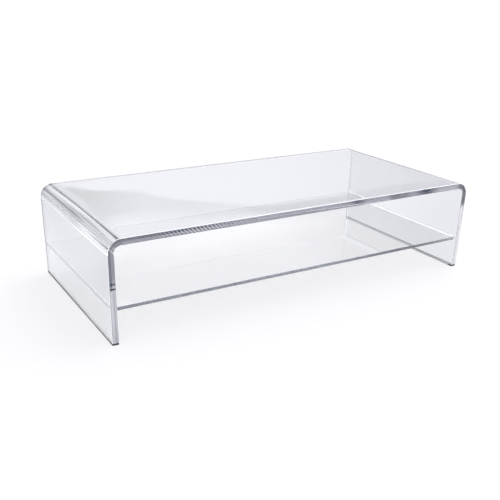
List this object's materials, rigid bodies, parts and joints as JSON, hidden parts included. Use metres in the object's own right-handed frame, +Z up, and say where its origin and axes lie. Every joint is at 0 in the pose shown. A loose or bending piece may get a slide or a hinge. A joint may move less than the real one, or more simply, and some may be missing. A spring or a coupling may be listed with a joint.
{
  "type": "monitor riser stand",
  "caption": "Clear bridge-shaped desk riser bent from one sheet, with a thinner clear shelf fixed between its legs.",
  "frame": {"origin": "on the desk, under the middle of the riser", "axes": "+X along the length, +Z up; the two open sides face -Y and +Y"},
  "size_m": [0.51, 0.24, 0.12],
  "materials": {
    "clear_sheet": "clear cast acrylic, glossy faces and polished edges",
    "clear_shelf": "clear cast acrylic, glossy faces and polished edges",
    "clear_cement": "clear set acrylic cement, glossy",
    "dark_rubber": "thin matt dark rubber"
  },
  "bodies": {
    "root": {"bent_sheet": "clear_sheet", "shelf": "clear_shelf", "cement_bead_left_upper": "clear_cement", "cement_bead_left_lower": "clear_cement", "cement_bead_right_upper": "clear_cement", "cement_bead_right_lower": "clear_cement", "foot_strip_left": "dark_rubber", "foot_strip_right": "dark_rubber"}
  },
  "joints": []
}
